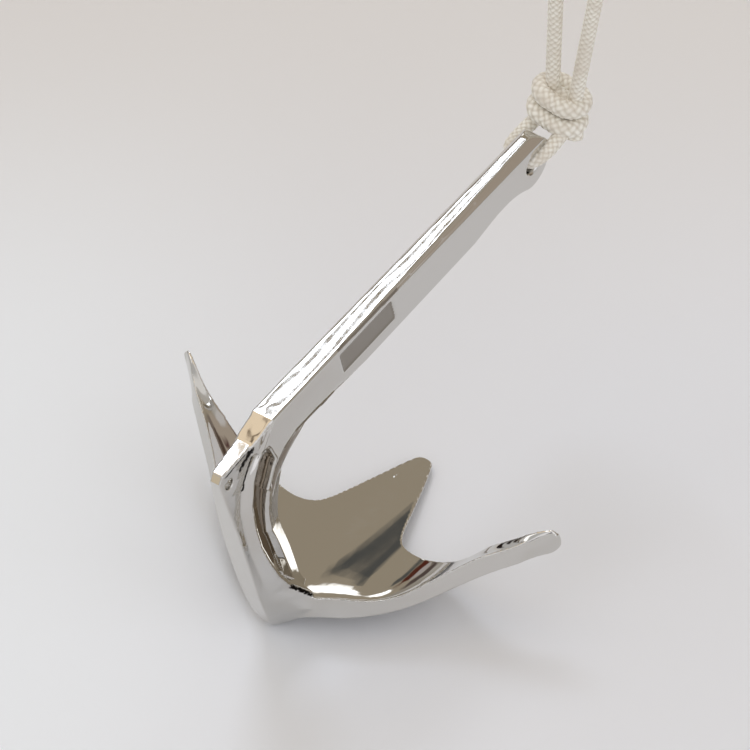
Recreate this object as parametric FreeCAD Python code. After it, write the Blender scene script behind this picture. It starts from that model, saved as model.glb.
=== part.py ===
import FreeCAD, Part
import math
import os

# Claw anchor, cast in one piece in stainless steel, hanging on a loop of braided cord.
# Millimetres. X runs forward along the shank and the centre fluke, Y to the left, Z up.
# The shapes below are drawn with the heel at zero. At the end they are all moved so that
# the frame's origin is the top of the cord loop, which holds the anchor.

V = FreeCAD.Vector

# Shank
SHANK_HALF = 5.25           # half thickness of the bar
BEND_X = -4.5               # where the straight outer edge starts
BEND_Z = 123.3              # height of the bend, which all heights of the crown follow
SHANK_RISE = 0.055          # rise of the outer edge for each millimetre forward
SHANK_DEPTH = 21.8          # outer edge to inner edge in the straight part
NECK_RELIEF = 2.6           # the inner edge is this much higher just before the eye
NECK_BACK = 21.0            # from the eye back to that place

# Eye for the cord
EYE_X = 180.2
EYE_RADIUS = 4.2
EYE_COUNTERSINK = 1.1
NOSE_RADIUS = 12.2

# Bevels of the shank's outer edges, which widen towards the eye
BEVEL_START_X = 20.0
BEVEL_START = 0.45
BEVEL_AT_EYE = 3.3
BEVEL_SLOPE = 1.12          # drop of the bevel for each millimetre of its width

# Recess in the shank's near side face
RECESS_DEPTH = 0.7
RECESS_BACK_X = 44.0
RECESS_LENGTH = 36.0
RECESS_LOW = 6.2            # lower edge above the shank's inner edge
RECESS_HEIGHT = 12.4
RECESS_LEAN = 2.6           # the ends lean back by this much

# Bend, back fin and its spur
FACET_X = -17.0             # lower crease of the flat facet on the bend
FACET_Z = BEND_Z - 4.5
SPUR_X = -35.2
SPUR_Z = BEND_Z - 7.7
SPUR_CUT = 3.4              # height of the small face across the spur's end
SPUR_HALF = 2.5             # the fin's top narrows to this at the spur
FIN_TOP_HALF = 3.8          # and is this wide where it leaves the bend
TRIP_HOLE_X = -31.0
TRIP_HOLE_Z = SPUR_Z - 7.4
TRIP_HOLE_RADIUS = 2.4

# Braided cord: through the eye, its knot and the loop it hangs by
CORD_DIAMETER = 6.6
WRAP_DIAMETER = 7.6         # the cord swells a little where it is wrapped and not taut
WRAP_SHORT = 7.0            # half the short axis of a wrap's centre line
LOW_WRAP_CENTRE = (203.4, -1.4, 131.0)
LOW_WRAP_LONG = 10.1        # half the long axis of a wrap's centre line
TOP_WRAP_CENTRE = (206.0, -1.7, 139.6)
TOP_WRAP_LONG = 9.8
KNOT_LEAN = 5.0             # degrees that the knot leans forward from upright
KNOT_TILT = 12.0            # degrees that its right side hangs lower
EYE_ROUTE = [
    (206.0, -7.9, 130.9),
    (180.2, -8.9, 121.3),
    (180.2, 8.9, 121.3),
    (192.6, 8.8, 124.0),
    (203.5, 4.2, 130.6),
]
EYE_ROUTE_RADIUS = 6.6      # the taut cord turns as tightly as this at the eye's mouths
LOOP_X = 206.0
LOOP_TOP_Z = 239.0
LOOP_ROUTE = [
    (LOOP_X, 3.0, 140.5),
    (LOOP_X, 2.7, 209.3),
    (LOOP_X, 9.5, 225.7),
    (LOOP_X, 0.6, LOOP_TOP_Z),
    (LOOP_X, -15.4, LOOP_TOP_Z),
    (LOOP_X, -24.3, 225.7),
    (LOOP_X, -17.7, 209.3),
    (LOOP_X, -8.1, 138.5),
]

# Throat: the inner curve from the shank down to its foot, and the foot's narrow front
THROAT_TOP_X = 40.0
RIDGE_HALF = 1.3

# Crown web between the back ribs and the foot of the shank
WEB_HALF = 2.2

# Claw plate
TIP_X = 111.0               # front of the centre fluke
TIP_RADIUS = 5.0
FLUKE_Y = 94.8              # end of a side fluke, which the claw's whole spread follows
FLUKE_X = 69.5
OUTLINE_CLEAR = 30.0        # the rear view's outline reaches past the claw by this, both ways


def wire(points):
    """A closed wire of straight edges."""
    return Part.makePolygon(points + [points[0]])


def spline(points):
    """One smooth edge through the points."""
    smooth = Part.BSplineCurve()
    smooth.interpolate(points)
    return smooth.toShape()


def high(z):
    """A height from the rows below, which were drawn for one height of the bend and follow it."""
    drawn_bend_z = 123.3
    return z * BEND_Z / drawn_bend_z


def wide(y):
    """A distance from the centre plane, drawn for one spread of the flukes, which it follows."""
    drawn_fluke_y = 94.8
    return y * FLUKE_Y / drawn_fluke_y


def outer_edge_z(x):
    return BEND_Z + SHANK_RISE * (x - BEND_X)


def side_plate(profile_edges, half):
    """A plate of twice the half thickness, from edges drawn on the centre plane."""
    face = Part.Face(Part.Wire(profile_edges))
    face.translate(V(0, -half, 0))
    return face.extrude(V(0, 2 * half, 0))


def line(a, b):
    return Part.LineSegment(V(a[0], 0, a[1]), V(b[0], 0, b[1])).toShape()


def arc(a, b, c):
    return Part.Arc(V(a[0], 0, a[1]), V(b[0], 0, b[1]), V(c[0], 0, c[1])).toShape()


def curve(points):
    return spline([V(x, 0, z) for x, z in points])


EYE_Z = outer_edge_z(EYE_X) - NOSE_RADIUS


def shank_solid():
    """The bar from the bend to the eye, with the top of the pocket cut out of its foot."""
    lean = math.atan(SHANK_RISE)
    top_of_nose = (EYE_X - NOSE_RADIUS * math.sin(lean), EYE_Z + NOSE_RADIUS * math.cos(lean))
    nose_front = (EYE_X + NOSE_RADIUS, EYE_Z)
    nose_low = (EYE_X - 3.0, EYE_Z - math.sqrt(NOSE_RADIUS ** 2 - 9.0))
    neck_x = EYE_X - NECK_BACK
    neck = (neck_x, outer_edge_z(neck_x) - SHANK_DEPTH + NECK_RELIEF)
    inner = (neck_x - 22.0, outer_edge_z(neck_x - 22.0) - SHANK_DEPTH)
    throat_top = (THROAT_TOP_X, outer_edge_z(THROAT_TOP_X) - SHANK_DEPTH)
    edges = [
        line((-12.6, high(112.0)), (BEND_X, BEND_Z)),
        line((BEND_X, BEND_Z), top_of_nose),
        arc(top_of_nose, nose_front, nose_low),
        curve([nose_low, (neck_x + 10.0, neck[1] - 0.9), neck, (neck_x - 10.0, neck[1] - 1.3), inner]),
        line(inner, throat_top),
        curve([throat_top, (24.0, high(102.6)), (12.0, high(101.6)), (3.4, high(98.4)),
               (-2.3, high(92.4)), (-7.0, high(86.5))]),
        line((-7.0, high(86.5)), (-9.6, high(88.0))),
        line((-9.6, high(88.0)), (-3.2, high(100.5))),
        line((-3.2, high(100.5)), (-8.2, high(111.6))),
        line((-8.2, high(111.6)), (-12.6, high(112.0))),
    ]
    bar = side_plate(edges, SHANK_HALF)
    return bar.cut(bevel_wedge(1)).cut(bevel_wedge(-1))


def bevel_wedge(side):
    """What the bevel along one outer edge of the shank takes away."""
    sections = []
    for x in (BEND_X - 20.0, BEVEL_START_X, EYE_X + 20.0):
        grow = max(0.0, (x - BEVEL_START_X) / (EYE_X - BEVEL_START_X))
        width = BEVEL_START + (BEVEL_AT_EYE - BEVEL_START) * grow
        top = outer_edge_z(x)
        out = SHANK_HALF + 2.0
        up = top + (out - SHANK_HALF + width) * BEVEL_SLOPE
        sections.append(wire([
            V(x, side * (SHANK_HALF - width - 1.0), top + BEVEL_SLOPE),
            V(x, side * out, top - (out - SHANK_HALF + width) * BEVEL_SLOPE),
            V(x, side * out, up),
        ]))
    return Part.makeLoft(sections, True, True)


def shoulder_solid():
    """The bend's flat facet, where the bar begins to narrow to the width of the fin."""
    sections = []
    for share, half, deep in ((0.0, SHANK_HALF - BEVEL_START, 14.0), (0.6, 4.7, 10.0),
                              (1.04, FIN_TOP_HALF + 0.4, 5.0)):
        x = BEND_X + 0.02 + (FACET_X - BEND_X) * share
        top = BEND_Z + (FACET_Z - BEND_Z) * share
        low = top - deep
        sections.append(wire([V(x, -half, low), V(x, half, low), V(x, half, top), V(x, -half, top)]))
    return Part.makeLoft(sections, True, True)


def crown_solid():
    """Back fin, keel, ribs and heel: the upright back of the anchor, section by section."""
    # height; keel back x and half width; rib root x and half width; rim x and half width;
    # inner root x; front x
    rows = [
        (122.0, -38.5, SPUR_HALF, -13.0, FIN_TOP_HALF + 0.2, -9.0, 4.4, -8.0, -6.0),
        (112.2, -37.1, SPUR_HALF, -12.6, FIN_TOP_HALF, -12.2, 5.1, -9.0, -6.0),
        (107.4, -36.0, 2.7, -17.2, 3.4, -15.2, 5.1, -12.4, -3.0),
        (100.0, -34.2, 3.1, -23.2, 3.1, -18.8, 5.4, -15.6, -1.0),
        (88.0, -31.0, 3.7, -25.0, 3.5, -20.9, 6.0, -17.4, -5.0),
        (75.0, -27.6, 4.4, -23.6, 4.1, -19.6, 6.6, -16.0, -5.0),
        (62.0, -24.4, 4.6, -20.8, 4.6, -16.8, 7.2, -13.4, -3.0),
        (50.0, -21.2, 4.6, -17.4, 5.0, -12.2, 7.8, -9.0, 0.0),
        (38.0, -17.8, 4.4, -13.4, 5.4, -7.0, 8.6, -3.8, 4.0),
        (28.0, -14.8, 4.1, -9.8, 6.0, -1.2, 10.4, 2.6, 7.0),
        (20.5, -12.1, 3.9, -6.4, 7.2, 6.0, 15.6, 9.5, 11.0),
        (14.0, -9.6, 3.5, -3.4, 8.0, 4.6, 16.4, 9.4, 12.4),
        (8.0, -6.9, 2.9, -2.0, 7.0, 2.2, 12.4, 11.0, 17.0),
        (3.0, -4.2, 2.2, -1.6, 4.4, 0.8, 6.4, 13.0, 20.0),
        (0.0, -1.6, 0.9, -0.6, 1.5, 0.6, 1.8, 5.0, 9.0),
    ]
    sections = []
    for z, back_x, back_y, root_x, root_y, rim_x, rim_y, inner_x, front_x in rows:
        lip = min(1.6, (inner_x - rim_x) * 0.5)
        web = min(WEB_HALF, rim_y * 0.6)
        half = [(back_x, back_y), (root_x, root_y), (rim_x, rim_y), (rim_x + lip, rim_y - lip * 0.3),
                (inner_x, web), (front_x, web * 0.8)]
        ring = half + [(x, -y) for x, y in reversed(half)]
        sections.append(wire([V(x, y, high(z)) for x, y in ring]))
    body = Part.makeLoft(sections, True, True)
    if body.Volume < 0:
        body.reverse()
    profile = [
        line((0.0, BEND_Z - 2.3), (FACET_X, FACET_Z)),
        line((FACET_X, FACET_Z), (SPUR_X, SPUR_Z)),
        line((SPUR_X, SPUR_Z), (SPUR_X - 1.9, SPUR_Z - SPUR_CUT)),
        line((SPUR_X - 1.9, SPUR_Z - SPUR_CUT), (SPUR_X - 4.0, SPUR_Z - SPUR_CUT)),
        line((SPUR_X - 4.0, SPUR_Z - SPUR_CUT), (SPUR_X - 4.0, -5.0)),
        line((SPUR_X - 4.0, -5.0), (THROAT_TOP_X, -5.0)),
        line((THROAT_TOP_X, -5.0), (THROAT_TOP_X, high(100.0))),
        line((THROAT_TOP_X, high(100.0)), (0.0, BEND_Z - 2.3)),
    ]
    return body.common(side_plate(profile, 30.0))


def foot_solid():
    """The foot of the shank: upright under the throat, then a wedge that leans down to the claw."""
    # height, back x, half width at the back, side x, half width at the side, inner x
    crease = (62.0, -8.2, 3.0, -6.0, 4.6, 2.9)
    upright = [
        (103.0, 0.0, 5.1, 12.0, 5.2, 30.0),
        (98.0, -5.0, 5.1, 2.0, 5.2, 22.0),
        (94.0, -6.8, 5.0, -1.5, 5.2, 15.0),
        (89.5, -8.2, 5.0, -5.0, 5.2, 8.8),
        (84.0, -9.2, 4.6, -7.2, 5.1, 5.4),
        (75.0, -9.6, 3.8, -7.8, 4.8, 3.4),
        crease,
    ]
    leaning = [
        crease,
        (48.0, -3.4, 2.8, -0.4, 4.6, 7.0),
        (34.0, 1.0, 3.0, 4.2, 4.7, 11.6),
        (20.0, 4.6, 3.8, 8.2, 5.4, 15.6),
        (8.0, 3.0, 6.0, 9.0, 8.0, 21.0),
    ]
    stretches = []
    for rows in (upright, leaning):
        sections = []
        for z, back_x, back_y, side_x, side_y, inner_x in rows:
            half = [(back_x, back_y), (side_x, side_y), (inner_x, RIDGE_HALF)]
            ring = half + [(x, -y) for x, y in reversed(half)]
            sections.append(wire([V(x, y, high(z)) for x, y in ring]))
        stretches.append(Part.makeLoft(sections, True, False))
    return stretches[0].fuse(stretches[1])


def poled(points):
    """One smooth edge drawn inside its control points."""
    smooth = Part.BSplineCurve()
    smooth.buildFromPoles(points, False, 3)
    return smooth.toShape()


def claw_slab():
    """Between the claw's inner and outer surfaces, before its outline is cut."""
    # y, control points of the inner surface from the rim to the front, outer surface at the rear,
    # thickness at the front
    rows = [
        (0.0, (1.0, 22.5), (4.0, 13.0), (14.0, 7.6), (59.0, 5.2), (118.0, 3.0), 3.0, 2.4),
        (12.0, (3.0, 22.5), (6.5, 13.6), (16.0, 8.4), (59.0, 6.2), (118.0, 3.1), 8.0, 2.4),
        (24.0, (9.0, 23.0), (13.0, 14.5), (22.0, 9.2), (58.0, 8.2), (112.0, 4.4), 9.8, 2.3),
        (34.0, (16.0, 21.4), (20.0, 13.5), (29.0, 9.2), (58.0, 7.9), (96.0, 7.0), 10.8, 2.3),
        (44.0, (24.0, 22.2), (29.0, 15.8), (37.0, 12.2), (59.0, 11.0), (84.0, 10.0), 13.2, 2.4),
        (54.0, (34.5, 28.8), (39.0, 23.0), (45.5, 19.6), (59.0, 19.2), (76.0, 18.5), 17.6, 3.0),
        (62.0, (41.5, 34.9), (45.0, 30.8), (50.0, 28.8), (59.0, 29.0), (73.0, 29.0), 23.0, 4.2),
        (70.0, (48.5, 39.7), (51.0, 38.0), (54.0, 37.6), (60.0, 38.8), (73.0, 39.8), 28.6, 6.4),
        (78.0, (54.5, 42.9), (56.5, 43.0), (58.5, 43.9), (62.0, 45.8), (75.0, 47.0), 33.0, 9.8),
        (86.0, (60.5, 46.8), (62.0, 47.8), (63.5, 49.3), (66.0, 50.8), (78.0, 51.8), 36.0, 13.6),
        (94.0, (66.0, 50.0), (67.2, 50.6), (68.4, 51.3), (71.0, 52.1), (82.0, 52.8), 38.0, 13.8),
        (100.0, (70.0, 51.5), (71.0, 52.0), (72.0, 52.5), (75.0, 53.1), (86.0, 53.8), 39.5, 13.6),
    ]
    sections = []
    both = [(-1, row) for row in reversed(rows[1:])] + [(1, row) for row in rows]
    for side, (y, rim, second, third, front, far, low, thick) in both:
        y = wide(y) * side
        back = (rim[0] - 12.0, rim[1] + 3.0)
        top = [back, rim, second, third, front, far]
        mid_x = (rim[0] + front[0]) / 2.0
        bottom = [
            (back[0], low),
            (rim[0], low),
            ((rim[0] + mid_x) / 2.0, (3.0 * low + front[1] - thick) / 4.0),
            (mid_x, (low + front[1] - thick) / 2.0),
            (front[0], front[1] - thick),
            (far[0], far[1] - thick),
        ]
        upper = poled([V(x, y, z) for x, z in top])
        lower = poled([V(x, y, z) for x, z in reversed(bottom)])
        fore = Part.LineSegment(V(far[0], y, far[1]), V(far[0], y, far[1] - thick)).toShape()
        aft = Part.LineSegment(V(back[0], y, low), V(back[0], y, back[1])).toShape()
        sections.append(Part.Wire([upper, fore, lower, aft]))
    slab = Part.makeLoft(sections, True, False)
    if slab.Volume < 0:
        slab.reverse()
    return slab


def plan_outline(z):
    """The claw's outline seen from above, at one height, because its rear band leans."""
    tip_c = TIP_X - TIP_RADIUS
    front = [
        (tip_c + 1.6, TIP_RADIUS - 0.3),
        (90.0, 10.9),
        (74.0, 16.0),
        (65.0, 19.4),
        (60.0, 23.2),
        (58.2, 29.0),
        (58.6, 38.0),
        (59.4, 46.0),
        (59.0, 54.0),
        (58.2, 62.0),
        (58.4, 70.0),
        (60.6, 79.0),
        (65.4, 87.0),
        (68.6, 92.6),
    ]
    # x and height of the rear edge's lower line, and its lean
    rear = [
        (92.4, 66.8, 40.5, 0.02),
        (87.0, 61.0, 36.5, 0.10),
        (79.0, 53.0, 34.0, 0.18),
        (70.0, 45.3, 28.8, 0.25),
        (62.0, 39.3, 23.0, 0.27),
        (54.5, 32.6, 18.0, 0.28),
        (46.0, 24.4, 14.2, 0.26),
        (38.0, 17.6, 11.8, 0.24),
        (30.0, 11.8, 10.4, 0.22),
        (22.0, 6.8, 9.6, 0.20),
        (14.0, 2.6, 8.2, 0.15),
    ]
    edges = []
    start = front[0]
    edges.append(Part.Arc(V(start[0], -wide(start[1]), z), V(TIP_X, 0, z),
                          V(start[0], wide(start[1]), z)).toShape())
    for side in (1, -1):
        back = [V(x + lean * (z - low), side * wide(y), z) for y, x, low, lean in rear]
        fore = [V(x, side * wide(y), z) for x, y in front]
        edges.append(spline(fore))
        edges.append(Part.Arc(fore[-1], V(FLUKE_X, side * FLUKE_Y, z), back[0]).toShape())
        edges.append(spline(back))
        edges.append(Part.LineSegment(back[-1], V(-2.0, 0, z)).toShape())
    return Part.Wire(Part.__sortEdges__(edges))


def plan_prism():
    prism = Part.makeLoft([plan_outline(0.0), plan_outline(60.0)], True, True)
    if prism.Volume < 0:
        prism.reverse()
    return prism


def rear_view_prism():
    """The outline of the claw seen from behind."""
    low_y, side_y, end_y, top_y = wide(84.0), wide(86.0), wide(94.4), wide(89.0)
    edges = [Part.LineSegment(V(0, -low_y, -5.0), V(0, low_y, -5.0)).toShape()]
    for side in (1, -1):
        edges.append(Part.LineSegment(V(0, side * low_y, -5.0), V(0, side * side_y, 35.6)).toShape())
        edges.append(Part.Arc(V(0, side * side_y, 35.6), V(0, side * end_y, 43.0),
                              V(0, side * top_y, 52.4)).toShape())
    edges.append(Part.LineSegment(V(0, top_y, 52.4), V(0, 60.0, 70.0)).toShape())
    edges.append(Part.LineSegment(V(0, 60.0, 70.0), V(0, -60.0, 70.0)).toShape())
    edges.append(Part.LineSegment(V(0, -60.0, 70.0), V(0, -top_y, 52.4)).toShape())
    outline = Part.Wire(Part.__sortEdges__(edges))
    face = Part.Face(outline)
    face.translate(V(-OUTLINE_CLEAR, 0, 0))
    return face.extrude(V(TIP_X + 2 * OUTLINE_CLEAR, 0, 0))


def casting_solid():
    """Everything that is one casting."""
    claw = claw_slab().common(plan_prism()).common(rear_view_prism())
    pieces = [shoulder_solid(), crown_solid(), foot_solid(), claw]
    body = shank_solid()
    for piece in pieces:
        body = body.fuse(piece)
    eye = Part.makeCylinder(EYE_RADIUS, 40, V(EYE_X, -20, EYE_Z), V(0, 1, 0))
    body = body.cut(eye)
    for side in (1, -1):
        sink = Part.makeCone(EYE_RADIUS, EYE_RADIUS + 2 * EYE_COUNTERSINK, 2 * EYE_COUNTERSINK,
                             V(EYE_X, side * (SHANK_HALF - EYE_COUNTERSINK), EYE_Z), V(0, side, 0))
        body = body.cut(sink)
    trip = Part.makeCylinder(TRIP_HOLE_RADIUS, 20, V(TRIP_HOLE_X, -10, TRIP_HOLE_Z), V(0, 1, 0))
    body = body.cut(trip)
    return body.cut(recess_cutter())


def recess_cutter():
    """The shallow slanted field in the shank's near side."""
    rise = V(1, 0, SHANK_RISE).normalize()
    up = V(-SHANK_RISE, 0, 1).normalize()
    low_z = outer_edge_z(RECESS_BACK_X) - SHANK_DEPTH + RECESS_LOW
    corner = V(RECESS_BACK_X, -SHANK_HALF - 1.0, low_z)
    along = rise * RECESS_LENGTH
    ring = [corner, corner + along, corner + along + up * RECESS_HEIGHT - rise * RECESS_LEAN,
            corner + up * RECESS_HEIGHT - rise * RECESS_LEAN]
    return Part.Face(wire(ring)).extrude(V(0, 1.0 + RECESS_DEPTH, 0))


def cord_tube(name, route, diameter, tightest=None):
    """A tube along straight runs that tangent arcs join."""
    points = [V(*place) for place in route]
    edges = []
    last = points[0]
    for i in range(1, len(points) - 1):
        before = (points[i - 1] - points[i]).normalize()
        after = (points[i + 1] - points[i]).normalize()
        half_turn = (math.pi - before.getAngle(after)) / 2.0
        shorter = min((points[i - 1] - points[i]).Length, (points[i + 1] - points[i]).Length)
        radius = 0.45 * shorter / math.tan(half_turn)
        if tightest:
            radius = min(radius, tightest)
        back_off = radius * math.tan(half_turn)
        start = points[i] + before * back_off
        end = points[i] + after * back_off
        inward = (before + after).normalize()
        middle = points[i] + inward * (radius / math.cos(half_turn) - radius)
        edges.append(Part.LineSegment(last, start).toShape())
        edges.append(Part.Arc(start, middle, end).toShape())
        last = end
        print(name, "arc radius", round(radius, 1))
    edges.append(Part.LineSegment(last, points[-1]).toShape())
    path = Part.Wire(edges)
    ring = Part.Face(Part.Wire(Part.makeCircle(diameter / 2.0, points[0], points[1] - points[0])))
    tube = path.makePipe(ring)
    section = math.pi * diameter ** 2 / 4.0
    print(name, "length", round(path.Length, 1), "volume", round(tube.Volume),
          "section times length", round(section * path.Length))
    return tube


def knot_axes():
    """The knot's long way across, its way forward and its upright axis."""
    lean, tilt = math.radians(KNOT_LEAN), math.radians(KNOT_TILT)
    across = V(0, math.cos(tilt), math.sin(tilt))
    forward = across.cross(V(math.sin(lean), 0, math.cos(lean))).normalize()
    return across, forward, forward.cross(across)


def wrap_ring(centre, long_half):
    """One closed turn of the knot round the two strands."""
    across, forward, axis = knot_axes()
    middle = V(*centre)
    straight = long_half - WRAP_SHORT
    left = middle + across * straight
    right = middle - across * straight
    body = Part.makeCylinder(WRAP_DIAMETER / 2.0, 2 * straight, right + forward * WRAP_SHORT, across)
    body = body.fuse(Part.makeCylinder(WRAP_DIAMETER / 2.0, 2 * straight,
                                       right - forward * WRAP_SHORT, across))
    for end, outward in ((left, across), (right, across * -1)):
        ring = Part.Face(Part.Wire(Part.makeCircle(WRAP_DIAMETER / 2.0, end + forward * WRAP_SHORT, outward)))
        body = body.fuse(ring.revolve(end, axis, 180.0 if outward.dot(across) > 0 else -180.0))
    return body


def knot_solid():
    """The knot: two turns one above the other and the strands inside them."""
    across, forward, axis = knot_axes()
    low = V(*LOW_WRAP_CENTRE)
    top = V(*TOP_WRAP_CENTRE)
    core_ends = []
    for middle, half in ((low - axis * 1.6, LOW_WRAP_LONG), (top + axis * 1.6, TOP_WRAP_LONG)):
        reach = half - 1.2
        depth = WRAP_SHORT - 1.2
        core_ends.append(wire([
            middle + across * reach, middle + across * (reach - depth) + forward * depth,
            middle - across * (reach - depth) + forward * depth, middle - across * reach,
            middle - across * (reach - depth) - forward * depth,
            middle + across * (reach - depth) - forward * depth,
        ]))
    core = Part.makeLoft(core_ends, True, True)
    if core.Volume < 0:
        core.reverse()
    knot = wrap_ring(LOW_WRAP_CENTRE, LOW_WRAP_LONG)
    knot = knot.fuse(wrap_ring(TOP_WRAP_CENTRE, TOP_WRAP_LONG))
    return knot.fuse(core)


def only_solid(shape):
    """The one solid inside a boolean result."""
    return max(shape.Solids, key=lambda body: body.Volume)


os.makedirs("parts", exist_ok=True)
casting = only_solid(casting_solid())
knot = only_solid(knot_solid())
eye_cord = only_solid(cord_tube("eye_cord", EYE_ROUTE, CORD_DIAMETER, EYE_ROUTE_RADIUS).cut(knot))
loop = only_solid(cord_tube("hanging_loop", LOOP_ROUTE, CORD_DIAMETER).cut(knot))
nodes = {"anchor_casting": casting, "eye_cord": eye_cord, "cord_knot": knot, "hanging_loop": loop}
left_top, right_top = LOOP_ROUTE[3], LOOP_ROUTE[4]
to_origin = V(-LOOP_X, -(left_top[1] + right_top[1]) / 2.0, -(LOOP_TOP_Z - CORD_DIAMETER / 2.0))
print("moved by", to_origin)
for name, solid in nodes.items():
    solid.translate(to_origin)
    print(name, solid.isValid(), round(solid.Volume))
    solid.exportStep("parts/" + name + ".step")
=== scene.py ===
# %% [markdown]
# A claw anchor, cast in one piece in stainless steel and polished to a mirror, hangs by a
# braided cord just above a pale sheet. This lesson dresses its construction model: first the
# camera, then the cords, then the casting and its finish, then the sheet and the studio.

# %% Load the construction model
import bmesh
import bpy
import math
import numpy as np
from mathutils import Matrix, Vector


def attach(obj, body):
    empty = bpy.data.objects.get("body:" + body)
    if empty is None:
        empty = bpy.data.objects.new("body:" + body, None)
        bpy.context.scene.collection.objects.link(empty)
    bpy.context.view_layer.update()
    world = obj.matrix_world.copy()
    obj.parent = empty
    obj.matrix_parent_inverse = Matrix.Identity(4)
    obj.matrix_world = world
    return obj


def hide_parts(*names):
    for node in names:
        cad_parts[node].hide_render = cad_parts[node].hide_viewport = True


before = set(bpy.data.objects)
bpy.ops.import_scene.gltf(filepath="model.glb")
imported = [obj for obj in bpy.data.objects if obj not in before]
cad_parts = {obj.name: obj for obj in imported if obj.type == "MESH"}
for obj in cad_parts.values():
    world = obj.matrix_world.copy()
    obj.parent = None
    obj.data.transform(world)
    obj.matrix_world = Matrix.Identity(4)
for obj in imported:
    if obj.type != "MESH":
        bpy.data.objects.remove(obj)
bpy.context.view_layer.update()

MM = 0.001

# %% [markdown]
# The construction model was drawn from the heel of the claw, in millimetres, and then moved so
# that the top of the cord loop is the origin. Places on the anchor are easier to think of from
# the heel, so one function turns such a place into the frame's metres.

# %% Places counted from the heel
HEEL = Vector((-206.0, 7.4, -235.7))


def from_heel(x, y, z):
    """A place given in millimetres from the heel, as a point of the frame in metres."""
    return (Vector((x, y, z)) + HEEL) * MM


def hex_colour(text):
    """An sRGB hex colour as the linear colour that shaders work with."""
    channels = [int(text[i:i + 2], 16) / 255 for i in (1, 3, 5)]
    linear = [c / 12.92 if c <= 0.04045 else ((c + 0.055) / 1.055) ** 2.4 for c in channels]
    return (*linear, 1.0)


def add_node(tree, kind, inputs=None, **settings):
    """A node with its settings, and each input set to a value or joined to another's output."""
    made = tree.nodes.new(kind)
    for name, value in settings.items():
        setattr(made, name, value)
    for key, value in (inputs or {}).items():
        if isinstance(value, bpy.types.NodeSocket):
            tree.links.new(value, made.inputs[key])
        else:
            made.inputs[key].default_value = value
    return made


def settled(thing):
    """Give an object the mesh that its modifiers make, and take the modifiers off."""
    evaluated = thing.evaluated_get(bpy.context.evaluated_depsgraph_get())
    plain = bpy.data.meshes.new_from_object(evaluated)
    thing.modifiers.clear()
    thing.data = plain


print("heel of the claw, metres:", [round(c, 4) for c in from_heel(0, 0, 0)])

# %% [markdown]
# The photograph was taken with a long lens from about two metres, looking down at 44 degrees
# from behind and to one side of the shank. A long lens keeps near and far parts of the anchor
# at almost the same scale.

# %% The camera
CAMERA_PLACE = from_heel(-1120.6, -829.0, 1507.1)
VIEW_DIRECTION = Vector((0.58657, 0.40750, -0.69991))
LENS_MM = 240.0
SENSOR_MM = 36.0

camera_data = bpy.data.cameras.new("camera")
camera_data.lens = LENS_MM
camera_data.sensor_width = SENSOR_MM
camera = bpy.data.objects.new("camera", camera_data)
camera.location = CAMERA_PLACE
camera.rotation_mode = "QUATERNION"
camera.rotation_quaternion = VIEW_DIRECTION.to_track_quat("-Z", "Y")
bpy.context.scene.collection.objects.link(camera)
bpy.context.scene.camera = camera
print("camera at", [round(c, 3) for c in camera.location])

# %% [markdown]
# A braided cord lies on one smooth line. A NURBS spline with the route's points as its control
# points gives that line. It is read off in small even steps, and at each step two directions
# square to it say where a ring of points goes. They turn as little as they can, so the braid
# isn't twisted.

# %% The line that a cord follows
CORD_DIAMETER = 6.6 * MM
RING_STEP = 0.32 * MM
SPLINE_STEPS = 48                # points that each piece of the spline is read off in
TINY = 1e-9


def route_line(name, points):
    """Points along the smooth spline that has the route's points as its control points."""
    curve = bpy.data.curves.new(name, "CURVE")
    curve.dimensions = "3D"
    curve.resolution_u = SPLINE_STEPS
    spline = curve.splines.new("NURBS")
    spline.points.add(len(points) - 1)
    for control, place in zip(spline.points, points):
        control.co = (*place, 1.0)
    spline.order_u = 3
    spline.use_endpoint_u = True
    carrier = bpy.data.objects.new(name, curve)
    bpy.context.scene.collection.objects.link(carrier)
    evaluated = carrier.evaluated_get(bpy.context.evaluated_depsgraph_get())
    mesh = bpy.data.meshes.new_from_object(evaluated)
    line = [vertex.co.copy() for vertex in mesh.vertices]
    bpy.data.objects.remove(carrier)
    bpy.data.meshes.remove(mesh)
    return line


def even_line(line, step):
    """The same line with its points a nearly equal step apart, and its length."""
    lengths = [0.0]
    for a, b in zip(line, line[1:]):
        lengths.append(lengths[-1] + (b - a).length)
    count = max(2, round(lengths[-1] / step))
    places = []
    at = 0
    for i in range(count + 1):
        want = lengths[-1] * i / count
        while at < len(line) - 2 and lengths[at + 1] < want:
            at += 1
        share = (want - lengths[at]) / max(lengths[at + 1] - lengths[at], TINY)
        places.append(line[at].lerp(line[at + 1], min(1.0, max(0.0, share))))
    return places, lengths[-1]


def ring_frames(line):
    """For each point of the line, two directions square to it that turn as little as they can."""
    tangents = []
    for i in range(len(line)):
        tangents.append((line[min(i + 1, len(line) - 1)] - line[max(i - 1, 0)]).normalized())
    side = tangents[0].orthogonal().normalized()
    frames = []
    for tangent in tangents:
        side = (side - tangent * side.dot(tangent)).normalized()
        frames.append((side, tangent.cross(side)))
    return frames


# %% [markdown]
# A braid is a sleeve of yarns that cross each other, half of them going round to the left and
# half to the right. Where a yarn passes over, it makes a small bump, and the bumps stand in rows
# that slant both ways. A smooth tube with a bump map would look flat at its outline, so the
# sleeve is a real mesh. A rule gives its shape all along a path, which is work for Geometry
# Nodes: they carry a ring of points along the line and push each point out or in by the braid's
# height there. The steps below are that rule, each with a name, an operation and its values.

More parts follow.
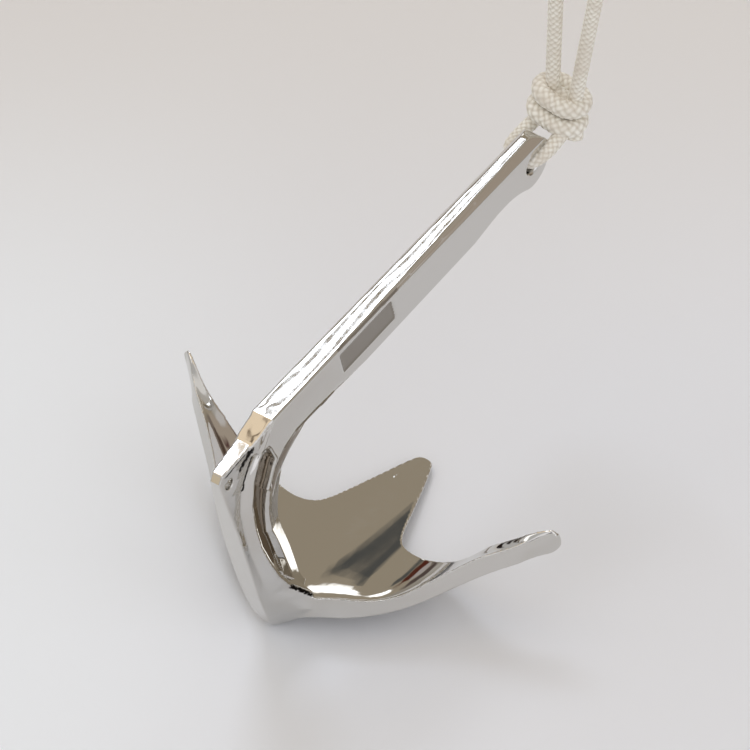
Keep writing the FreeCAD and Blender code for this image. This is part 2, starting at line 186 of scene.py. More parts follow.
# %% The braid's rule, as Geometry Nodes
YARN_ROWS = 6.0                  # bumps round the cord, of which about three show
YARN_PITCH = 2.9 * MM            # from one bump to the next along the cord
BRAID_HEIGHT = 0.50 * MM
RING_POINTS = 48
SWAY = 0.08                      # the rows wander by this share of a bump
SWAY_ALONG = 3.1 * MM            # one wave of that for each 2 pi of this length, the same all round
SWAY_ROUND = 4.7 * MM            # and another that winds round the cord
WELD = 0.001 * MM                # points closer than this are one
SLEEVE_INPUTS = (
    ("Line", "NodeSocketGeometry"), ("Finish", "NodeSocketMaterial"), ("Ring points", "NodeSocketInt"),
    ("Diameter", "NodeSocketFloat"), ("Braid height", "NodeSocketFloat"),
    ("Yarn rows", "NodeSocketFloat"), ("Yarn pitch", "NodeSocketFloat"),
)
LINE_MARKS = {"centre": "FLOAT_VECTOR", "side": "FLOAT_VECTOR", "up": "FLOAT_VECTOR",
              "along": "FLOAT", "open": "FLOAT"}
BRAID_STEPS = (
    ("turn", "DIVIDE", "point", "Ring points"),
    ("angle", "MULTIPLY", "turn", 2 * math.pi),
    ("wave", "DIVIDE", "along", SWAY_ALONG),
    ("wave height", "SINE", "wave"),
    ("winding", "DIVIDE", "along", SWAY_ROUND),
    ("winding wave", "ADD", "winding", "angle"),
    ("winding height", "SINE", "winding wave"),
    ("both waves", "ADD", "wave height", "winding height"),
    ("sway", "MULTIPLY", "both waves", SWAY),
    ("row", "MULTIPLY_ADD", "turn", "Yarn rows", "sway"),
    ("bump", "DIVIDE", "along", "Yarn pitch"),
    ("left", "ADD", "row", "bump"),
    ("right", "SUBTRACT", "row", "bump"),
    ("left angle", "MULTIPLY", "left", math.pi),
    ("right angle", "MULTIPLY", "right", math.pi),
    ("left yarn", "COSINE", "left angle"),
    ("right yarn", "COSINE", "right angle"),
    ("crossing", "MULTIPLY", "left yarn", "right yarn"),
    ("over", "MULTIPLY_ADD", "crossing", 0.5, 0.5),
    ("under", "SUBTRACT", 1.0, "over"),
    ("left size", "ABSOLUTE", "left yarn"),
    ("right size", "ABSOLUTE", "right yarn"),
    ("leftward", "MULTIPLY", "left size", "over"),
    ("rightward", "MULTIPLY", "right size", "under"),
    ("height", "MAXIMUM", "leftward", "rightward"),
    ("half", "MULTIPLY", "Diameter", 0.5),
    ("low", "SUBTRACT", "half", "Braid height"),
    ("radius", "MULTIPLY_ADD", "height", "Braid height", "low"),
    ("reach", "MULTIPLY", "radius", "open"),
    ("cosine", "COSINE", "angle"),
    ("sine", "SINE", "angle"),
    ("sideways", "MULTIPLY", "cosine", "reach"),
    ("upwards", "MULTIPLY", "sine", "reach"),
    ("rise", "SUBTRACT", "height", 0.5),
    ("braid", "MULTIPLY_ADD", "rise", "open", 0.5),
)


def add_steps(tree, steps, known):
    """Work out the steps in a tree, from known outputs, and add each step's output to them."""
    for name, operation, *values in steps:
        inputs = {i: known.get(value, value) for i, value in enumerate(values)}
        known[name] = add_node(tree, "ShaderNodeMath", inputs, operation=operation).outputs["Value"]


def sleeve_tree():
    """Geometry Nodes that put a closed sleeve of braid round a line that carries its marks."""
    tree = bpy.data.node_groups.new("braided_sleeve", "GeometryNodeTree")
    tree.is_modifier = True
    for name, kind in SLEEVE_INPUTS:
        tree.interface.new_socket(name, in_out="INPUT", socket_type=kind)
    tree.interface.new_socket("Sleeve", in_out="OUTPUT", socket_type="NodeSocketGeometry")
    given = add_node(tree, "NodeGroupInput")
    known = {output.name: output for output in given.outputs if output.name}
    line = add_node(tree, "GeometryNodeMeshToCurve", {"Mesh": known["Line"]})
    ring = add_node(tree, "GeometryNodeCurvePrimitiveCircle", {"Resolution": known["Ring points"]})
    counted = add_node(
        tree, "GeometryNodeStoreNamedAttribute",
        {
            "Geometry": ring.outputs["Curve"], "Name": "point",
            "Value": add_node(tree, "GeometryNodeInputIndex").outputs["Index"],
        },
        data_type="FLOAT", domain="POINT",
    )
    tube = add_node(
        tree, "GeometryNodeCurveToMesh",
        {"Curve": line.outputs["Curve"], "Profile Curve": counted.outputs["Geometry"]},
    )
    for name, kind in (*LINE_MARKS.items(), ("point", "FLOAT")):
        mark = add_node(tree, "GeometryNodeInputNamedAttribute", {"Name": name}, data_type=kind)
        known[name] = mark.outputs["Attribute"]
    add_steps(tree, BRAID_STEPS, known)
    place = known["centre"]
    for direction, distance in (("side", "sideways"), ("up", "upwards")):
        part = add_node(
            tree, "ShaderNodeVectorMath", {"Vector": known[direction], "Scale": known[distance]},
            operation="SCALE",
        )
        place = add_node(
            tree, "ShaderNodeVectorMath", {0: place, 1: part.outputs["Vector"]}, operation="ADD"
        ).outputs["Vector"]
    braided = add_node(
        tree, "GeometryNodeStoreNamedAttribute",
        {"Geometry": tube.outputs["Mesh"], "Name": "braid", "Value": known["braid"]},
        data_type="FLOAT", domain="POINT",
    )
    placed = add_node(
        tree, "GeometryNodeSetPosition", {"Geometry": braided.outputs["Geometry"], "Position": place}
    )
    closed = add_node(
        tree, "GeometryNodeMergeByDistance",
        {"Geometry": placed.outputs["Geometry"], "Distance": WELD},
    )
    smooth = add_node(tree, "GeometryNodeSetShadeSmooth", {"Geometry": closed.outputs["Geometry"]})
    real = add_node(tree, "GeometryNodeRealizeInstances", {"Geometry": smooth.outputs["Geometry"]})
    finished = add_node(
        tree, "GeometryNodeSetMaterial",
        {"Geometry": real.outputs["Geometry"], "Material": known["Finish"]},
    )
    add_node(tree, "NodeGroupOutput", {"Sleeve": finished.outputs["Geometry"]})
    return tree


sleeve = sleeve_tree()
print("braided sleeve:", len(sleeve.nodes), "nodes")

# %% [markdown]
# The cord is white polyester: matt yarns with a soft sheen, and a warm grey where the yarns
# dip under each other, because less light gets in there. The braid's height, kept on the mesh
# as an attribute, drives that colour, and a finer bump along the yarns stands for their
# filaments.

# %% Braided polyester
CORD_BRIGHT = hex_colour("#fbf8ee")
CORD_DEEP = hex_colour("#cfc6b5")
CORD_SOILED = hex_colour("#d8cdbd")
FILAMENT_MM = 0.25               # real filaments are finer, and this is as fine as shows
FILAMENT_HEIGHT_MM = 0.1
SOIL_MM = 9.0                    # size of the places that handling has soiled a little


def braided_polyester():
    material = bpy.data.materials.new("braided_polyester")
    material.use_nodes = True
    tree = material.node_tree
    shader = tree.nodes["Principled BSDF"]
    shader.inputs["Roughness"].default_value = 0.78
    shader.inputs["Sheen Weight"].default_value = 0.25
    shader.inputs["Sheen Roughness"].default_value = 0.5
    height = add_node(tree, "ShaderNodeAttribute", attribute_name="braid")
    place = add_node(tree, "ShaderNodeTexCoord")
    fibres = add_node(
        tree, "ShaderNodeTexNoise",
        {"Vector": place.outputs["Object"], "Scale": 1 / (FILAMENT_MM * MM), "Detail": 2.0},
    )
    soil = add_node(
        tree, "ShaderNodeTexNoise",
        {"Vector": place.outputs["Object"], "Scale": 1 / (SOIL_MM * MM), "Detail": 3.0},
    )
    shade = add_node(
        tree, "ShaderNodeMapRange",
        {"Value": height.outputs["Fac"], "From Min": 0.1, "From Max": 0.8},
    )
    yarn = add_node(
        tree, "ShaderNodeMix",
        {"Factor": shade.outputs["Result"], 6: CORD_DEEP, 7: CORD_BRIGHT}, data_type="RGBA",
    )
    dirt = add_node(
        tree, "ShaderNodeMapRange",
        {"Value": soil.outputs["Fac"], "From Min": 0.42, "From Max": 0.7, "To Max": 0.6},
    )
    mixed = add_node(
        tree, "ShaderNodeMix",
        {"Factor": dirt.outputs["Result"], 6: yarn.outputs[2], 7: CORD_SOILED},
        data_type="RGBA",
    )
    bump = add_node(
        tree, "ShaderNodeBump",
        {"Height": fibres.outputs["Fac"], "Strength": 0.35, "Distance": FILAMENT_HEIGHT_MM * MM},
    )
    tree.links.new(mixed.outputs[2], shader.inputs["Base Color"])
    tree.links.new(bump.outputs["Normal"], shader.inputs["Normal"])
    return material


cord_finish = braided_polyester()
print("material:", cord_finish.name)

# %% [markdown]
# The line goes into the nodes as a chain of edges, and each of its points is marked with its
# ring's centre and directions and how far along the cord it is. The first and the last ring are
# there twice, and the outer one of each pair isn't open: it shrinks to a point and closes the end.

# %% A cord along a line
def braided_tube(name, line, diameter):
    """A closed mesh sleeve of braid along the line, with its braid height as an attribute."""
    places, length = even_line(line, RING_STEP)
    frames = ring_frames(places)
    last = len(places) - 1
    rings = [(0, 0.0), *((i, 1.0) for i in range(last + 1)), (last, 0.0)]
    chain = bpy.data.meshes.new(name)
    chain.from_pydata([places[i] for i, _ in rings], [(i, i + 1) for i in range(len(rings) - 1)], [])
    marks = {
        "centre": [places[i] for i, _ in rings],
        "side": [frames[i][0] for i, _ in rings],
        "up": [frames[i][1] for i, _ in rings],
        "along": [length * i / last for i, _ in rings],
        "open": [is_open for _, is_open in rings],
    }
    for mark, kind in LINE_MARKS.items():
        layer = chain.attributes.new(mark, kind, "POINT")
        layer.data.foreach_set("value" if kind == "FLOAT" else "vector", np.array(marks[mark]).ravel())
    tube = bpy.data.objects.new(name, chain)
    bpy.context.scene.collection.objects.link(tube)
    sizes = {
        "Finish": cord_finish, "Ring points": RING_POINTS, "Diameter": diameter,
        "Braid height": BRAID_HEIGHT, "Yarn rows": YARN_ROWS, "Yarn pitch": YARN_PITCH,
    }
    nodes = tube.modifiers.new("sleeve", "NODES")
    nodes.node_group = sleeve
    for item in sleeve.interface.items_tree:
        if item.name in sizes:
            nodes[item.identifier] = sizes[item.name]
    settled(tube)
    for mark in (*LINE_MARKS, "point"):
        tube.data.attributes.remove(tube.data.attributes[mark])
    print(f"{name}: {length / MM:.1f} mm long, {len(tube.data.polygons)} faces")
    return tube, length


# %% [markdown]
# Two strands rise from the knot and join in a bight above the photograph's edge. They are one
# length of cord, so they are one route. Its control points are the construction model's own,
# with its two straight strands and the smallest smooth curve between them.

# %% The hanging loop
LOOP_X = 206.0
LOOP_TOP = 239.0
LOOP_ROUTE = [
    from_heel(LOOP_X, 3.0, 140.5),
    from_heel(LOOP_X, 2.8, 191.5),   # keeps the long straight strand straight up to its bend
    from_heel(LOOP_X, 2.7, 209.3),
    from_heel(LOOP_X, 9.5, 225.7),
    from_heel(LOOP_X, 0.6, LOOP_TOP),
    from_heel(LOOP_X, -15.4, LOOP_TOP),
    from_heel(LOOP_X, -24.3, 225.7),
    from_heel(LOOP_X, -17.7, 209.3),
    from_heel(LOOP_X, -15.3, 191.8),
    from_heel(LOOP_X, -8.1, 138.5),
]
loop_line = route_line("loop_route", LOOP_ROUTE)
loop, loop_length = braided_tube("hanging_loop_braid", loop_line, CORD_DIAMETER)

# %% [markdown]
# The same cord goes through the shank's eye and rises on both sides into the knot. Its ends lie
# inside the knot's turns, where they don't show.

# %% The cord through the eye
EYE_ROUTE = [
    from_heel(206.0, -7.9, 130.9),
    from_heel(180.2, -8.9, 121.3),
    from_heel(180.2, 8.9, 121.3),
    from_heel(192.6, 8.8, 124.0),
    from_heel(203.5, 4.2, 130.6),
]
eye_line = route_line("eye_route", EYE_ROUTE)
eye, eye_length = braided_tube("eye_cord_braid", eye_line, CORD_DIAMETER)

# %% [markdown]
# The knot is two turns of the same cord, wrapped round both strands and pulled down until they
# press against each other. Each turn is an oval: two straight sides joined by half circles. The
# whole knot leans a little forward, and its right side hangs lower. A short length of cord across
# its middle is the part of the knot that shows between the strands, and the cord's cut end hangs
# out below on the right.

# %% The knot's turns
WRAP_DIAMETER = 8.3 * MM         # the cord is slack here, so it swells until the turns touch
WRAP_SHORT = 6.6                 # half sizes of the ovals, in millimetres
LOW_WRAP_LONG = 9.9
TOP_WRAP_LONG = 9.6
LOW_WRAP = Vector((203.4, -1.4, 131.2))
TOP_WRAP = Vector((206.0, -1.7, 139.5))
WRAP_POINTS = 96
KNOT_LEAN = math.radians(5.0)
KNOT_TILT = math.radians(12.0)
KNOT_ACROSS = Vector((0, math.cos(KNOT_TILT), math.sin(KNOT_TILT)))
CORE_HALF = 7.0                  # half of the core's length
CORE_DROP = 1.5                  # how far it lies below the top turn's middle
CORE_POINTS = 20
TAIL_DIAMETER = 7.4 * MM
TAIL_ROUTE = [
    from_heel(204.6, -6.5, 131.0),
    from_heel(203.6, -9.4, 129.0),
    from_heel(202.4, -11.0, 126.0),
    from_heel(201.8, -11.4, 123.6),
]


def wrap_line(centre, long_half, short_half):
    """A closed oval round the strands, in the knot's own leaning plane."""
    forward = KNOT_ACROSS.cross(Vector((math.sin(KNOT_LEAN), 0, math.cos(KNOT_LEAN)))).normalized()
    straight = long_half - short_half
    line = []
    for i in range(WRAP_POINTS + 1):
        angle = 2 * math.pi * i / WRAP_POINTS + math.pi / 2
        shift = straight if math.sin(angle) > 0 else -straight
        spot = centre + forward * (short_half * math.cos(angle))
        spot += KNOT_ACROSS * (short_half * math.sin(angle) + shift)
        line.append(from_heel(*spot))
    return line


knot_parts = []
for name, centre, long_half in (
    ("low_turn", LOW_WRAP, LOW_WRAP_LONG),
    ("top_turn", TOP_WRAP, TOP_WRAP_LONG),
):
    turn_line = wrap_line(centre, long_half, WRAP_SHORT)
    turn, _ = braided_tube(name, turn_line, WRAP_DIAMETER)
    knot_parts.append(turn)

core_middle = TOP_WRAP - Vector((0, 0, CORE_DROP))
core_line = []
for i in range(CORE_POINTS + 1):
    aside = CORE_HALF * (2 * i / CORE_POINTS - 1)
    core_line.append(from_heel(*(core_middle + KNOT_ACROSS * aside)))
core, _ = braided_tube("knot_core", core_line, WRAP_DIAMETER)
tail, _ = braided_tube("knot_tail", TAIL_ROUTE, TAIL_DIAMETER)
knot_parts += [core, tail]

joined = bmesh.new()
for part in knot_parts:
    joined.from_mesh(part.data)
knot_mesh = bpy.data.meshes.new("knot_turns")
joined.to_mesh(knot_mesh)
joined.free()
knot_mesh.materials.append(cord_finish)
for part in knot_parts:
    bpy.data.objects.remove(part)
knot = bpy.data.objects.new("knot_turns", knot_mesh)
bpy.context.scene.collection.objects.link(knot)

# %% [markdown]
# The loop and the cord through the eye are free cord, and both end in the knot, which is pulled
# tight. Here the loop, the cord through the eye and the knot all go on the root body as they are,
# and the construction model's own cords are hidden.

# %% The cords on the root body
for piece, node, length, line in (
    (loop, "hanging_loop", loop_length, loop_line),
    (eye, "eye_cord", eye_length, eye_line),
):
    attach(piece, "root")
    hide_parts(node)
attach(knot, "root")
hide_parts("cord_knot")
print("knot:", len(knot_mesh.polygons), "faces")

# %% [markdown]
# The casting's edges were left by a mould and then polished, so none of them is sharp. The
# construction model's faces meet in crisp creases. A fine voxel remesh of a copy gives an even
# skin of small faces, and a few rounds of smoothing round every crease by about half a
# millimetre, as polishing does. A few places are rounder still: the ends of the flukes, which
# are ground thinner too, the inner edge of the bend, and the corner where a rib meets the rim.

# %% How soft each place is
FLUKE_ENDS = (83.0, 88.0)        # softer beyond this distance from the middle, and fully there
GROUND_ENDS = (82.0, 88.0)       # ground beyond this distance, and fully there
GROUND_PLACE = (66.5, 93.4, 50.1)   # the plane that the left fluke's end is ground to
GROUND_NORMAL = (-0.709, 0.691, -0.141)
SOFT_SPOTS = [
    # a place, for the right side too, and how far it reaches: the rim's corner, a step on a fluke
    ((4.5, 15.5, 21.5), 6.0),
    ((55.5, 72.0, 39.5), 7.0),
]
THROAT_EDGE = [
    # x and z along the inner edge from the shank to its foot, and the width of its chamfer
    (62.0, 105.2, 0.0), (40.0, 104.0, 3.0), (24.0, 102.8, 4.5), (12.0, 101.8, 5.0), (5.0, 99.0, 5.0),
    (0.0, 94.0, 5.0), (-3.0, 89.0, 4.0), (-4.6, 78.0, 0.0),
]
THROAT_HALF = 6.5                # all of the bend is closer to the middle than this
CHAMFER_SLOPE = 0.3
FAR_OFF = 1e9


def line_distance(spots, places):
    """From each spot the shortest way to a line of straight pieces, and where along it."""
    shortest = np.full(len(spots), FAR_OFF)
    along = np.zeros(len(spots))
    places = np.array(places, dtype=float)
    for i in range(len(places) - 1):
        piece = places[i + 1] - places[i]
        share = np.clip((spots - places[i]) @ piece / (piece @ piece), 0.0, 1.0)
        away = np.linalg.norm(spots - places[i] - share[:, None] * piece, axis=1)
        along = np.where(away < shortest, i + share, along)
        shortest = np.minimum(shortest, away)
    return shortest, along


def share_between(values, start, full):
    """0 up to the start, 1 from where it is full, and even between them."""
    return np.clip((values - start) / (full - start), 0.0, 1.0)


def softness(spots):
    """How much rounder than elsewhere the edges are at each spot."""
    most = share_between(abs(spots[:, 1]), *FLUKE_ENDS)
    both_sides = np.column_stack((spots[:, 0], abs(spots[:, 1]), spots[:, 2]))
    for place, reach in SOFT_SPOTS:
        most = np.maximum(most, 1.0 - np.linalg.norm(both_sides - place, axis=1) / reach)
    return most


def ground_ends(spots):
    """Move what lies outside the plane of a ground end onto it."""
    both_sides = np.column_stack((spots[:, 0], abs(spots[:, 1]), spots[:, 2]))
    outside = np.maximum(0.0, (both_sides - GROUND_PLACE) @ np.array(GROUND_NORMAL))
    outside *= share_between(both_sides[:, 1], *GROUND_ENDS)
    both_sides -= outside[:, None] * np.array(GROUND_NORMAL)
    spots[:, 0] = both_sides[:, 0]
    spots[:, 1] = both_sides[:, 1] * np.sign(spots[:, 1])
    spots[:, 2] = both_sides[:, 2]


def throat_cut(spots):
    """How many millimetres narrower each side is at each spot near the inner edge of the bend."""
    cut = np.zeros(len(spots))
    middle = np.nonzero(abs(spots[:, 1]) < THROAT_HALF)[0]
    away, along = line_distance(spots[middle][:, [0, 2]], [place[:2] for place in THROAT_EDGE])
    width = np.interp(along, range(len(THROAT_EDGE)), [place[2] for place in THROAT_EDGE])
    cut[middle] = CHAMFER_SLOPE * np.maximum(0.0, width - away)
    return cut


# %% [markdown]
# A polisher's wheel leaves a flat face slightly crowned, and on a mirror that shows: the shank's
# back is lowered a little towards its two edges. A mirror also shows every unevenness that a
# remesh leaves, so the back's flat part is set to its exact height first. Small black pits that
# the polisher couldn't reach lie under the near edge of the fin, in a dotted row below it and at
# the foot.

# %% The shank's back and the pits
CROWN = 0.0034                   # drop in mm for each square mm of distance from the middle
SHANK_BACK = (-4.5, 123.3, 0.055)   # where the shank's back starts, its height there and its rise
EVEN_BELOW = (0.02, 0.06)        # unevenness in mm that is taken away fully, and not at all
BACK_REACH = 1.0                 # a spot is on the back where it is closer than this to its plane
BACK_FACES_UP = 0.6              # and where its normal rises at least this much
CROWN_IN = 6.0                   # the crown comes in over this length
PITTED_PART = (10.0, -1.0)       # all pits have a smaller x and a smaller y than these
PIT_LINES = [
    # half width of the rough belt, then its points
    (2.9, (-17.5, -3.8, 116.6), (-21.3, -3.4, 113.8), (-24.0, -3.2, 111.2)),
    (0.9, (-16.0, -3.9, 117.8), (-25.0, -3.3, 116.2), (-33.5, -2.7, 113.8)),
    (1.4, (-17.0, -3.7, 113.0), (-19.5, -3.4, 108.0), (-21.5, -3.3, 104.0), (-23.6, -3.3, 99.0)),
    (2.0, (-1.5, -9.5, 28.5), (0.9, -11.3, 26.4), (4.3, -14.3, 22.3), (6.0, -16.0, 20.5)),
]


def crown_back(spots, normals):
    """Even the shank's back, lower it towards its edges, and tell which spots are on it."""
    start, height, rise = SHANK_BACK
    rough = spots[:, 2] - height - rise * (spots[:, 0] - start)
    on_back = (spots[:, 0] > start) & (abs(rough) < BACK_REACH) & (normals[:, 2] > BACK_FACES_UP)
    gone = rough * (1.0 - share_between(abs(rough), *EVEN_BELOW))
    ramp = share_between(spots[:, 0], start, start + CROWN_IN)
    spots[:, 2] -= on_back * (gone + ramp * CROWN * spots[:, 1] ** 2)
    return on_back


def pitting(spots):
    """How pitted the metal is at each spot, 0 to 1."""
    most = np.zeros(len(spots))
    front, side = PITTED_PART
    near = np.nonzero((spots[:, 0] < front) & (spots[:, 1] < side))[0]
    for width, *places in PIT_LINES:
        away, _ = line_distance(spots[near], places)
        most[near] = np.maximum(most[near], 1.0 - away / width)
    return most


# %% [markdown]
# The skin itself comes in two steps. The remesh and a first smoothing make it even, and then the
# places above are ground, crowned and softened. A voxel remesh makes small squares everywhere,
# also where the metal is flat, so a decimation takes away what no shape needs. Where every small
# face is needed, on the back and in the pits, it is told to keep them.

# %% The casting's skin
VOXEL = 0.42 * MM
SMOOTH_ROUNDS = 5
SOFT_ROUNDS = 30
SOFT_LEVELS = 10                 # the softness is told to the modifier in this many steps
MOST_TRIANGLES = 190000
SAME_POINT = 0.002 * MM          # the construction model's loose triangles meet within this
SHANK_HALF = 5.25                # half of the shank's thickness
SIDE_FACE = -2.5                 # the near side's faces have a smaller y than this


def spots_of(mesh):
    """A mesh's points in millimetres from the heel, as an array."""
    flat = np.zeros(3 * len(mesh.vertices))
    mesh.vertices.foreach_get("co", flat)
    return flat.reshape(-1, 3) / MM - np.array(HEEL)


def even_skin():
    """An even skin of small faces over a copy of the construction model's casting.

    The remesh works on a grid, so the copy is turned until the shank's back lies along it.
    """
    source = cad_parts["anchor_casting"]
    level = Matrix.Rotation(math.atan(SHANK_BACK[2]), 4, "Y")
    shape = bmesh.new()
    shape.from_mesh(source.data)
    bmesh.ops.remove_doubles(shape, verts=shape.verts[:], dist=SAME_POINT)
    mesh = bpy.data.meshes.new("casting_copy")
    shape.to_mesh(mesh)
    shape.free()
    mesh.transform(level)
    skin = bpy.data.objects.new("casting_skin", mesh)
    bpy.context.scene.collection.objects.link(skin)
    remesh = skin.modifiers.new("remesh", "REMESH")
    remesh.mode = "VOXEL"
    remesh.voxel_size = VOXEL
    smooth = skin.modifiers.new("smooth", "SMOOTH")
    smooth.factor = 0.5
    smooth.iterations = SMOOTH_ROUNDS
    settled(skin)
    skin.data.transform(level.inverted())
    return skin


def finish_skin(skin):
    """Grind, crown and soften the skin, then take away the faces that it doesn't need."""
    mesh = skin.data
    spots = spots_of(mesh)
    normals = np.zeros(3 * len(mesh.vertices))
    mesh.vertex_normals.foreach_get("vector", normals)
    ground_ends(spots)
    cut = throat_cut(spots)
    spots[:, 1] *= 1.0 - cut / SHANK_HALF
    on_back = crown_back(spots, normals.reshape(-1, 3))
    mesh.vertices.foreach_set("co", ((spots + np.array(HEEL)) * MM).ravel())
    soft = skin.vertex_groups.new(name="soft")
    levels = np.ceil(softness(spots) * SOFT_LEVELS)
    for level in range(1, SOFT_LEVELS + 1):
        soft.add(np.nonzero(levels == level)[0].tolist(), level / SOFT_LEVELS, "REPLACE")
    keep = skin.vertex_groups.new(name="keep")
    strip = (cut > 0.0) & (spots[:, 1] < SIDE_FACE)
    keep.add(np.nonzero(on_back | strip | (pitting(spots) > 0.0))[0].tolist(), 1.0, "REPLACE")
    softer = skin.modifiers.new("softer", "SMOOTH")
    softer.factor = 0.5
    softer.iterations = SOFT_ROUNDS
    softer.vertex_group = "soft"
    thin = skin.modifiers.new("thin", "DECIMATE")
    thin.ratio = min(1.0, MOST_TRIANGLES / (2 * len(mesh.polygons)))
    thin.vertex_group = "keep"
    thin.invert_vertex_group = True
    settled(skin)
    skin.vertex_groups.clear()
    skin.data.name = "casting_skin"
    for face in skin.data.polygons:
        face.use_smooth = True


casting = even_skin()
print("even skin:", len(casting.data.polygons), "faces")
finish_skin(casting)
print("casting skin:", len(casting.data.polygons), "faces,",
      sum(len(face.vertices) - 2 for face in casting.data.polygons), "triangles")

# %% [markdown]
# Besides the pits, three places aren't mirror bright: the deep pocket beside the foot and the
# chamfer inside the bend get painted shade, a darker colour for the dark claw that they mirror,
# and the recess in the shank's side is left as cast.
# The bend and the foot were filed by hand, so their mirror curls. Each is a value on the mesh's
# points, and the material breaks the pits up.

# %% Where the metal isn't bright, and where shade is painted
# the pocket and the deep chamfer get painted shade: a darker colour for the dark claw that they mirror
POCKET = ((-21.0, -2.0), (38.0, 105.0))  # between these x and these heights, on the web
POCKET_HALF = 2.9                        # its faces are closer to the middle than this
POCKET_SIDE = -1.0                       # and have a smaller y than this
DEEP_CUT = 0.25                          # the chamfer is dark where it cuts deeper than this
RECESS_FLOOR = (-5.0, -4.2)              # the floor of the recess lies between these two y,
RECESS_ENDS = (40.0, 82.0)               # between these two x
RECESS_ABOVE = 100.0                     # and above this height
CURL_PLACES = [
    # a place counted from the heel, and how far its curls reach, in millimetres
    ((-9.0, -1.0, 122.0), 13.0),
    ((-3.0, -5.0, 42.0), 20.0),
]


def mark_finish(mesh):
    """Keep on the mesh how pitted and curled each point is, where shade is painted, and where the recess
    is.
    """
    spots = spots_of(mesh)
    x, y, z = spots.T
    (back, front), (bottom, top) = POCKET
    low, high = RECESS_FLOOR
    near, far = RECESS_ENDS
    painted_shade = (-POCKET_HALF < y) & (y < POCKET_SIDE) & (back < x) & (x < front) & (bottom < z) & (z < top)
    curls = np.zeros(len(spots))
    for place, reach in CURL_PLACES:
        away = np.linalg.norm(spots - place, axis=1)
        curls = np.maximum(curls, 1.0 - share_between(away, reach / 2, reach))
    marks = {
        "pits": pitting(spots),
        "painted_shade": painted_shade | ((throat_cut(spots) > DEEP_CUT) & (y < SIDE_FACE)),
        "recess": (near < x) & (x < far) & (low < y) & (y < high) & (z > RECESS_ABOVE),
        "curls": curls,
    }
    for name, values in marks.items():
        layer = mesh.attributes.new(name, "FLOAT", "POINT")
        layer.data.foreach_set("value", values.astype(float))
        print(f"{name}: {np.count_nonzero(values)} points")


mark_finish(casting.data)

# %% [markdown]
# Mirror-polished stainless steel sends back about two thirds of the light, with a faint warm
# tint. What the eye reads as its colour is the room around it. Hand polishing leaves long,
# shallow waves, so straight things mirrored in it become wavy lines.

# %% Mirror-polished stainless steel
STEEL = hex_colour("#d3d1cd")
DARK_PIT = hex_colour("#191512")
AS_CAST = hex_colour("#958f87")     # the recess's floor
# painted shade, for the dark claw that the pocket and the deep chamfer mirror
PAINTED_SHADE_COLOUR = hex_colour("#857a6c")
BRIGHT_ROUGHNESS = (0.03, 0.08)     # of a mirror polish, where it is best and where it is hazy
AS_CAST_ROUGHNESS = 0.32
PIT_ROUGHNESS = 0.7
HAZE_MM = 5.0
PIT_GRAIN_MM = 1.1                  # size of the single pits
WAVE_ACROSS_MM = 16.0
WAVE_HEIGHT_MM = 0.24
WAVE_STRETCH = (0.3, 1.0, 0.6)      # the polisher's strokes run along the shank
CURL_MM = 6.0
CURL_HEIGHT_MM = 0.16
HOLLOW_PLACE = (44.0, -12.0, 7.5)   # a shallow hollow that the polisher left in the claw's floor
HOLLOW_MM = 45.0
HOLLOW_DEPTH_MM = 0.5


